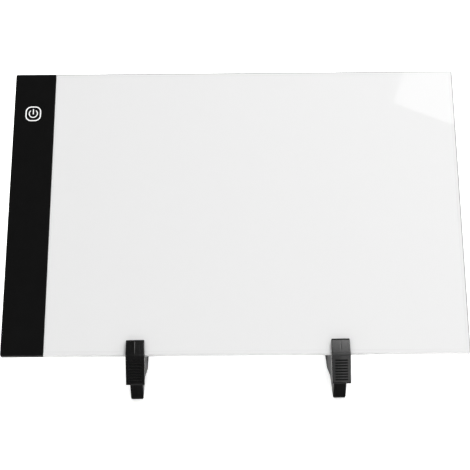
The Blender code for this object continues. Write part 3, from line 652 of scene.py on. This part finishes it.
def lever_mesh():
    lip_front, lip_rear = lip_face(LIP_TOP), at(LIP_TOP, LIP_IN)
    corners = fillet([(*lip_front, 0.38), (*KINK_FRONT, 5.0), (*GRIP_END, 1.1), (*(GRIP_END + BACK * GRIP_T), 1.1),
                      (*LIP_KINK_REAR, 3.0), (*lip_rear, 0.34)], 8)
    pts, cut, front = [], [], []          # outline, groove depth, share of the face's roof

    def put(p, depth=0.0, roof=0.0):
        pts.append(p)
        cut.append(depth)
        front.append(roof)

    def share(g, k, first, last):
        t = k / (len(g) - 1)
        return first + (last - first) * t * t * (3 - 2 * t)

    for k, p in enumerate(corners[0]):
        put(p, 0.0, share(corners[0], k, 0.0, 1.0))
    a, b = corners[0][-1], corners[1][0]
    for k in range(1, 12):
        q = a.lerp(b, k / 12)
        up = (q - KINK_FRONT).dot(U)
        chord = a + (b - a) * ((a - q).dot(U) / (a - b).dot(U))
        ends = [(lip_face((e - KINK_FRONT).dot(U) + KINK) - e).dot(N) for e in (a, b)]
        t = k / 12
        swell = (lip_face(up + KINK) - chord).dot(N) - (ends[0] * (1 - t) + ends[1] * t)
        put(q + N * swell, 0.0, 1.0)
    for p in corners[1]:
        put(p, 0.0, 1.0)
    for i in range(RIB_N):
        mid = RIB_START + RIB_PITCH * i
        for s, depth in GROOVE:
            put(KINK_FRONT + DOWN * (mid + s), depth, 1.0)
    for k, p in enumerate(corners[2]):
        put(p, 0.0, share(corners[2], k, 1.0, 0.0))
    for g in corners[3:]:
        for p in g:
            put(p)
    inn = inward(pts)
    outward_face = [-m for m in inn]
    lip_len = (lip_front - KINK_FRONT).length

    def half(p):
        s = (p - KINK_FRONT).dot(DOWN)
        if s >= 0:
            return (LEVER_W[1] + (LEVER_W[2] - LEVER_W[1]) * min(s / GRIP_L, 1.0)) / 2
        up = (p - KINK_FRONT).dot(U)
        return (LEVER_W[1] + (LEVER_W[0] - LEVER_W[1]) * min(max(up / lip_len, 0.0), 1.0)) / 2

    edge_r = 0.55
    steps = round_steps(edge_r, 5)
    inner = (4.85, 4.62, 4.52, 4.42, 3.0, 1.6, 0.50, 0.34, 0.16)
    stations = [("side", -1, d, i) for d, i in steps] + [("in", -x) for x in inner] + [("in", 0.0)]
    stations += [("in", x) for x in reversed(inner)] + [("side", 1, d, i) for d, i in reversed(steps)]
    bm = bmesh.new()
    rings = []
    for st in stations:
        ring = []
        for p, m, depth, roof in zip(pts, inn, cut, front):
            h = half(p)
            if st[0] == "side":
                x, inset = st[1] * (h - st[2]), st[3]
            else:
                x, inset = st[1], 0.0
            q = p + m * inset
            normal = -m.normalized()
            lift = ROOF * (1.0 - abs(x) / h) * roof
            up = (p - KINK_FRONT).dot(U)
            seam = max(0.0, 1.0 - abs(x) / 0.34) * min(max((up + 0.5) / 3.0, 0.0), 1.0)
            lift -= 0.05 * seam * roof
            if depth > 0:
                reach = (4.62 - abs(x)) / 0.2
                lift -= depth * min(max(reach, 0.0), 1.0)
            q = q + (normal if depth <= 0 else -BACK) * lift
            ring.append(side(q, x))
        rings.append(ring)
    loft(bm, rings)
    bmesh.ops.triangulate(bm, faces=[f for f in bm.faces if len(f.verts) > 4])
    mesh = finish(bm)
    mesh.materials.append(NYLON)
    mesh.materials.append(GROOVE_SHADE_NYLON)
    mesh.materials.append(BEND)
    for f in mesh.polygons:
        q = Vector((f.center.y, f.center.z)) / MM - KINK_FRONT
        if q.length < 1.5 and abs(f.normal.x) < 0.8:
            f.material_index = 2
        # painted shade: the grooves, the grip's end and the lip's top edge take the duller, darker copy of the nylon
        if abs(f.center.x) < 4.6 * MM and 0.10 < q.dot(BACK) < 0.8 and q.dot(DOWN) > RIB_START - 1.0:
            f.material_index = 1
        if q.dot(DOWN) > GRIP_L - 1.15 or q.dot(U) > LIP_TOP - KINK - 0.95:
            f.material_index = 1
    ears = []
    for x0, x1 in ((-EAR_X1, -EAR_X0), (EAR_X0, EAR_X1)):
        start = math.atan2(-DOWN.y, -DOWN.x)
        lug = [PIVOT + Vector((math.cos(start - math.pi * k / 24), math.sin(start - math.pi * k / 24))) * EAR_R
               for k in range(25)]
        toward = -BACK * ((PIVOT - (KINK_FRONT + BACK * GRIP_T)).dot(BACK) + 0.9)
        lug += [PIVOT + DOWN * EAR_R + toward, PIVOT - DOWN * EAR_R + toward]
        ears.append(pillow(lug, x0, x1, 0.25, 0.25, lambda p, h: side(p, h), 3))
    mesh = boolean(mesh, ears, "UNION")
    hole = turned(((0, 10), (PIN_HOLE_R, 10), (PIN_HOLE_R, -10), (0, -10)), (0, PIVOT.x, PIVOT.y), "x", 40)
    mesh = boolean(mesh, [hole], "DIFFERENCE")
    return mesh


# ---------------------------------------------------------------- stand bodies
FLOOR = -SILL + SOLE_T
REAR_IN = -(PAD_T + JAW_GAP + JAW_T + 0.12)


def body_half(y, z):
    if y <= 1.5:
        w = CHEEK_X1
    elif y <= 4.5:
        w = CHEEK_X1 + (TOE_HALF - CHEEK_X1) * (y - 1.5) / 3.0
    elif y <= FLARE_Y0:
        w = TOE_HALF
    elif y <= FLARE_Y1:
        w = TOE_HALF + (FOOT_HALF - TOE_HALF) * (y - FLARE_Y0) / (FLARE_Y1 - FLARE_Y0)
    else:
        w = FOOT_HALF
    if y <= 4.5 and z < -17.0:
        w = TOE_HALF
    return w


def body_mesh():
    toe_mid, toe_low = Vector((3.8, -25.9)), Vector((TOE_Y, -SILL))
    slope = (toe_low - toe_mid).normalized()
    toe_foot = toe_mid + slope * ((FLOOR - toe_mid.y) / slope.y)
    toe_high = toe_mid - slope * 10.5
    cheek_front, cheek_top = PIVOT + Vector((-CHEEK_R, -1.0)), PIVOT + Vector((-CHEEK_R, 3.2))
    outline = flat(fillet([
        (*at(-0.4, 0.0), 0.6), (*cheek_top, 1.2), (*cheek_front, 1.0), (*toe_high, 3.0),
        (*toe_mid, 0.0), (*toe_foot, 1.0),
        (HEEL_Y, FLOOR, 1.5), (HEEL_Y - 1.0, FLOOR + 6.0, 3.0), (HEEL_Y - 10.0, FLOOR + 9.0, 6.0),
        (14.0, -11.0, 6.0), (*at(2.0, -9.6), 3.0), (*at(14.0, -7.9), 1.0),
        (*at(14.0, REAR_IN), 0.6), (*at(-0.4, REAR_IN), 0.4)], 8))
    wide, r = 10.0, 0.45
    inn = inward(outline)
    steps = round_steps(r, 4)
    bm = bmesh.new()
    rings = [[side(p + m * i, -wide + d) for p, m in zip(outline, inn)] for d, i in steps]
    rings += [[side(p + m * i, wide - d) for p, m in zip(outline, inn)] for d, i in reversed(steps)]
    loft(bm, rings)
    for y in (1.5, 4.5, FLARE_Y0, FLARE_Y1):
        bmesh.ops.bisect_plane(bm, geom=bm.verts[:] + bm.edges[:] + bm.faces[:], dist=1e-5,
                               plane_co=(0, y, 0), plane_no=(0, 1, 0))
    bmesh.ops.bisect_plane(bm, geom=bm.verts[:] + bm.edges[:] + bm.faces[:], dist=1e-5,
                           plane_co=(0, 0, -17.0), plane_no=(0, 0, 1))
    for v in bm.verts:
        depth = wide - abs(v.co.x)
        v.co.x = math.copysign(body_half(v.co.y, v.co.z - 0.01) - depth, v.co.x)
    bmesh.ops.triangulate(bm, faces=[f for f in bm.faces if len(f.verts) > 4])
    mesh = finish(bm)
    py, pz = PIVOT
    cuts = [box(-CHEEK_X0, CHEEK_X0, py - 8.0, py + 3.2, pz - 3.2, pz + 3.1),
            box(-1.3, 2.0, py - 8.0, py + 7.2, pz - 11.0, pz + 0.6),
            box(-CHEEK_X0, 0.0, py - 8.0, py - 1.0, pz - 11.0, pz - 1.0),
            turned(((0, 10), (PIN_HOLE_R, 10), (PIN_HOLE_R, -10), (0, -10)), (0, py, pz), "x", 40)]
    pocket = flat(fillet([(57.0, FLOOR + 3.0, 1.5), (104.0, FLOOR + 3.0, 1.5), (104.0, FLOOR + 7.2, 1.5),
                          (57.0, FLOOR + 14.6, 1.5)], 6))
    for sx in (-1, 1):
        xa, xb = sx * (FOOT_HALF - 1.6), sx * (FOOT_HALF + 2.0)
        floor_first = xa < xb
        cuts.append(pillow(pocket, min(xa, xb), max(xa, xb), 0.5 if floor_first else 0.0,
                           0.0 if floor_first else 0.5, lambda p, h: side(p, h), 4))
    mesh = boolean(mesh, cuts, "DIFFERENCE")

    def rim(ed):
        ys = [v.co.y / MM for v in ed.verts]
        xs = [abs(v.co.x) / MM for v in ed.verts]
        zs = [v.co.z / MM for v in ed.verts]
        return (min(ys) > 56.0 and max(ys) < 105.0 and min(xs) > FOOT_HALF - 0.02 and min(zs) > FLOOR + 2.4
                and ed.calc_face_angle(0) > math.radians(50))

    mesh = soften_rims(mesh, rim, 0.00018, 2)
    mesh.materials.clear()
    mesh.materials.append(NYLON_MATT)
    mesh.materials.append(TOE_SHADE_NYLON)
    for f in mesh.polygons:
        # painted shade: the toe's front faces take the darker copy of the nylon
        if f.center.z < -20.0 * MM and f.center.y < 14.0 * MM and f.normal.y < -0.5:
            f.material_index = 1
    return mesh


# ------------------------------------------------------- small pieces of a clip
def spring_curve():
    pts = []
    half = 1.75
    a0, a1 = math.atan2(-BACK.y, -BACK.x), 0.0
    sweep = 2 * math.pi * SPRING_TURNS + ((a1 - a0) % (2 * math.pi))
    count = 180
    leg_end, leg_mid = PIVOT - BACK * 3.35 + DOWN * 10.0, PIVOT - BACK * 3.0 + DOWN * 5.5
    pts += [Vector((-half, *leg_end)), Vector((-half, *leg_end.lerp(leg_mid, 0.5))), Vector((-half, *leg_mid))]
    for k in range(count + 1):
        f = k / count
        a = a0 + sweep * f
        pts.append(Vector((-half + 2 * half * f, PIVOT.x + SPRING_R * math.cos(a), PIVOT.y + SPRING_R * math.sin(a))))
    pts.append(Vector((half - 0.9, PIVOT.x + SPRING_R + 0.1, PIVOT.y - 3.4)))
    pts.append(Vector((half - 1.2, PIVOT.x + SPRING_R + 0.1, PIVOT.y - 8.6)))
    cu = bpy.data.curves.new("wire", "CURVE")
    cu.dimensions = "3D"
    cu.bevel_depth = SPRING_WIRE * 0.97
    cu.bevel_resolution = 4
    cu.use_fill_caps = True
    sp = cu.splines.new("POLY")
    sp.points.add(len(pts) - 1)
    for q, p in zip(sp.points, pts):
        q.co = (*p, 1.0)
    ob = bpy.data.objects.new("wire", cu)
    bpy.context.scene.collection.objects.link(ob)
    bpy.context.view_layer.update()
    me = bpy.data.meshes.new_from_object(ob.evaluated_get(bpy.context.evaluated_depsgraph_get()))
    bpy.data.objects.remove(ob, do_unlink=True)
    bm = bmesh.new()
    bm.from_mesh(me)
    bmesh.ops.remove_doubles(bm, verts=bm.verts, dist=1e-4)
    return finish(bm)


def jaw(b0, b1, a0, a1, towards):
    """Rubber facing in the pad's directions, ribbed on the side that grips."""
    out = rectangle(-5.0, 5.0, a0, a1, 1.2, 1.2, 1.2, 1.2, 6)
    mesh = pillow(out, -b1, -b0, 0.2, 0.2, face, 3)
    grooves = []
    n = int((a1 - a0 - 2.0) / 1.5)
    for k in range(n):
        z = (a0 + a1) / 2 + (k - (n - 1) / 2) * 1.5
        d = -b1 if towards > 0 else -b0
        grooves.append(box(-6.0, 6.0, d - 0.25, d + 0.25, z - 0.25, z + 0.25))
    mesh = boolean(mesh, [joined(grooves)], "DIFFERENCE")
    mesh.transform(Matrix.Rotation(-LEAN, 4, "X"))
    return mesh


def sole(half, y0, y1):
    out = rectangle(-half, half, y0, y1, 1.2, 1.2, 1.2, 1.2, 6)
    mesh = pillow(out, -SILL, FLOOR - 0.06, 0.3, 0.12, plan, 4)
    grooves = []
    n = int((y1 - y0 - 4.0) / 2.6)
    for k in range(n):
        y = (y0 + y1) / 2 + (k - (n - 1) / 2) * 2.6
        grooves.append(box(-half + 1.4, half - 1.4, y - 0.4, y + 0.4, -SILL - 1.0, -SILL + 0.35))
    return boolean(mesh, [joined(grooves)], "DIFFERENCE")


pin_points = [(0, PIN_L / 2 - 0.25), (0.55, PIN_L / 2 - 0.25), (0.75, PIN_L / 2)]
pin_points += [(PIN_R - 0.35 + 0.35 * math.sin(math.radians(a)), PIN_L / 2 - 0.35 + 0.35 * math.cos(math.radians(a)))
               for a in (0, 22, 45, 67, 90)]
pin_points += [(r, -h) for r, h in reversed(pin_points)]

levers = lever_mesh()
bodies = body_mesh()
pin = turned(pin_points, (0, PIVOT.x, PIVOT.y), "x", 48)
spring = spring_curve()
front_jaw = jaw(JAW_GAP, JAW_GAP + JAW_T, 1.0, 9.4, -1)
rear_jaw = jaw(-(PAD_T + JAW_GAP + JAW_T), -(PAD_T + JAW_GAP), 1.6, 13.0, 1)
toe = sole(TOE_HALF - 0.1, TOE_Y, 27.0)
heel = sole(FOOT_HALF - 0.4, 98.0, HEEL_Y - 1.6)

for s in ("left", "right"):
    stand, lever = s + "_stand", s + "_lever"
    m = CLIP_M[s]
    moulding = levers.copy()
    if s == "left":
        # both levers are one moulding: the right one's bend is only made duller here
        # because two softboxes otherwise leave a dark line across it
        moulding.materials[2] = NYLON
    piece(s + "_lever_moulding", moulding, None, m, lever, [s + "_clamp_lever"])
    piece(s + "_stand_moulding", bodies.copy(), None, m, stand, [s + "_stand_body"], 28.0)
    piece(s + "_hinge_pin", pin.copy(), STEEL, m, stand, [s + "_pivot_pin"])
    piece(s + "_spring_wire", spring.copy(), SPRING, m, lever, [s + "_torsion_spring"], 50.0)
    piece(s + "_lip_rubber", front_jaw.copy(), RUBBER, m, lever, [s + "_front_jaw_rubber"])
    piece(s + "_back_rubber", rear_jaw.copy(), RUBBER, m, stand, [s + "_rear_jaw_rubber"])
    piece(s + "_toe_pad", toe.copy(), RUBBER, m, stand, [s + "_toe_sole"])
    piece(s + "_heel_pad", heel.copy(), RUBBER, m, stand, [s + "_heel_sole"])

# ------------------------------------- frame solids that keep their own shapes
for name, mat in (("bonding_tape", TAPE), ("diffuser_sheet", FILM), ("light_guide_plate", GUIDE),
                  ("reflector_sheet", MIRROR), ("led_strip", LEDBOARD), ("control_board", BOARD),
                  ("touch_electrode", COPPER), ("touch_chip", CHIP), ("driver_chip", CHIP),
                  ("led_lead_positive", RED), ("led_lead_negative", BLACKWIRE), ("power_socket", STEEL)):
    ob = nodes[name]
    for slot in ob.material_slots:
        slot.link = "OBJECT"
        slot.material = mat
    if not ob.material_slots:
        ob.data.materials.append(mat)

# ------------------------------------------------------------- floor and light
bpy.ops.mesh.primitive_plane_add(size=24.0, location=(0, 0, 0))
floor = bpy.context.object
floor.name = "studio_floor"
m, nt, b = new_material("studio_floor", specular=0.3)
grain = noise_at(nt, coords(nt), 3.0, 4.0)
nt.links.new(mix_colour(nt, spread(nt, grain, 0.0, 1.0), (0.95, 0.95, 0.95), (0.96, 0.96, 0.96)),
             b.inputs["Base Color"])
b.inputs["Roughness"].default_value = 0.6
b.inputs["Emission Color"].default_value = (1, 1, 1, 1)
b.inputs["Emission Strength"].default_value = 0.4
floor.data.materials.append(m)

world = bpy.data.worlds.new("studio")
bpy.context.scene.world = world
world.use_nodes = True
world.node_tree.nodes["Background"].inputs["Color"].default_value = (1, 1, 1, 1)
world.node_tree.nodes["Background"].inputs["Strength"].default_value = 0.06


LEVEL = 0.83


def softbox(name, location, target, sx, sy, radiance, roll=0.0):
    """Rectangular area light of a given radiance, facing a target."""
    data = bpy.data.lights.new(name, "AREA")
    data.shape = "RECTANGLE"
    data.size, data.size_y = sx, sy
    data.energy = radiance * LEVEL * math.pi * sx * sy
    ob = bpy.data.objects.new(name, data)
    bpy.context.scene.collection.objects.link(ob)
    ob.location = location
    aim = (Vector(target) - Vector(location)).to_track_quat("-Z", "Y").to_matrix().to_4x4()
    ob.matrix_world = Matrix.Translation(location) @ aim @ Matrix.Rotation(roll, 4, "Z")
    return ob


def mirrored(x, u, plane_co, plane_no):
    """Where the camera, mirrored in the pad's face at (x, u), looks on a plane."""
    eye = Vector(CAM) / MM
    n = Vector((0, N.x, N.y))
    p = Vector((x, ORIGIN_Y, SILL)) + Vector((0, U.x, U.y)) * u
    v = (p - eye).normalized()
    r = v - n * 2 * v.dot(n)
    t = (Vector(plane_co) - p).dot(Vector(plane_no)) / r.dot(Vector(plane_no))
    return p + r * t


CAM = (0.0093, -1.25174, 0.6043)
YAW, PITCH, ROLL = math.radians(0.417), math.radians(22.0), math.radians(0.614)

# overhead softbox, whose near corner shows in the panel's top right corner
corner = mirrored(121.6, 207.0, (0, 0, 1300.0), (0, 0, 1))
tilt_n = Vector((-0.30, -0.12, -0.95)).normalized()
pa = mirrored(127.1, 233.1, corner, tilt_n)
pb = mirrored(165.3, 187.4, corner, tilt_n)
ea = (pa - corner).normalized()
eb = (pb - corner).normalized()
ea = (ea - eb * ea.dot(eb)).normalized()
TOP_A, TOP_B = 700.0, 800.0
mid = (corner + ea * TOP_A / 2 + eb * TOP_B / 2) * MM
top = bpy.data.lights.new("top_softbox", "AREA")
top.shape = "RECTANGLE"
top.size, top.size_y = TOP_B * MM, TOP_A * MM
top.energy = 1.8 * math.pi * top.size * top.size_y
top_ob = bpy.data.objects.new("top_softbox", top)
bpy.context.scene.collection.objects.link(top_ob)
zaxis = eb.cross(ea)
if zaxis.z < 0:
    zaxis = -zaxis
    eb_x, ea_y = eb, -ea
else:
    eb_x, ea_y = eb, ea
top_ob.matrix_world = Matrix.Translation(mid) @ Matrix((eb_x, ea_y, zaxis)).transposed().to_4x4()



def sky_panel(name, az, el, distance, radiance, centre=(0.0, 0.0, 0.08)):
    """Softbox that fills a range of azimuth and elevation (degrees; azimuth 0 is
    toward the camera, positive to the right) seen from a point of the set."""
    a, e = math.radians(sum(az) / 2), math.radians(sum(el) / 2)
    away = Vector((math.sin(a) * math.cos(e), -math.cos(a) * math.cos(e), math.sin(e)))
    sx = 2 * distance * math.tan(math.radians((az[1] - az[0]) / 2)) * math.cos(e)
    sy = 2 * distance * math.tan(math.radians((el[1] - el[0]) / 2))
    return softbox(name, Vector(centre) + away * distance, centre, sx, sy, radiance)


RIGHT_CLIP = (CLIP_X[1] * MM, ORIGIN_Y * MM, 0.03)
sky_panel("key_softbox", (-1.0, 30.0), (8.0, 69.0), 1.5, 1.45, RIGHT_CLIP)
sky_panel("key_high_softbox", (22.0, 66.0), (38.0, 62.0), 2.2, 6.2)
sky_panel("side_softbox", (70.0, 104.0), (14.0, 46.0), 2.4, 3.2)
sky_panel("fill_softbox", (-74.0, -26.0), (22.0, 64.0), 2.4, 2.75)
sky_panel("back_softbox", (150.0, 210.0), (14.0, 52.0), 2.6, 7.5, (0.0, 0.1, 0.0))
softbox("ceiling_softbox", (1.06, 0.55, 4.0), (1.06, 0.55, 0.0), 2.0, 2.0, 5.0)

# ---------------------------------------------------------------------- camera
cam_data = bpy.data.cameras.new("camera")
cam_data.sensor_width = 36.0
cam_data.sensor_fit = "HORIZONTAL"
cam_data.lens = 139.4
cam_data.clip_start, cam_data.clip_end = 0.05, 60.0
cam = bpy.data.objects.new("camera", cam_data)
bpy.context.scene.collection.objects.link(cam)
cy, sy, cp, sp_, cr, sr = (math.cos(YAW), math.sin(YAW), math.cos(PITCH), math.sin(PITCH), math.cos(ROLL),
                           math.sin(ROLL))
R = (Matrix(((cy, -sy, 0), (sy, cy, 0), (0, 0, 1))) @ Matrix(((1, 0, 0), (0, cp, sp_), (0, -sp_, cp)))
     @ Matrix(((cr, 0, sr), (0, 1, 0), (-sr, 0, cr))))
right, forward, up = R.col[0], R.col[1], R.col[2]
cam.matrix_world = Matrix.Translation(CAM) @ Matrix((right, up, -forward)).transposed().to_4x4()
bpy.context.scene.camera = cam

view = bpy.context.scene.view_settings
view.view_transform = "Standard"
view.look = "None"
view.exposure, view.gamma = 0.0, 1.0
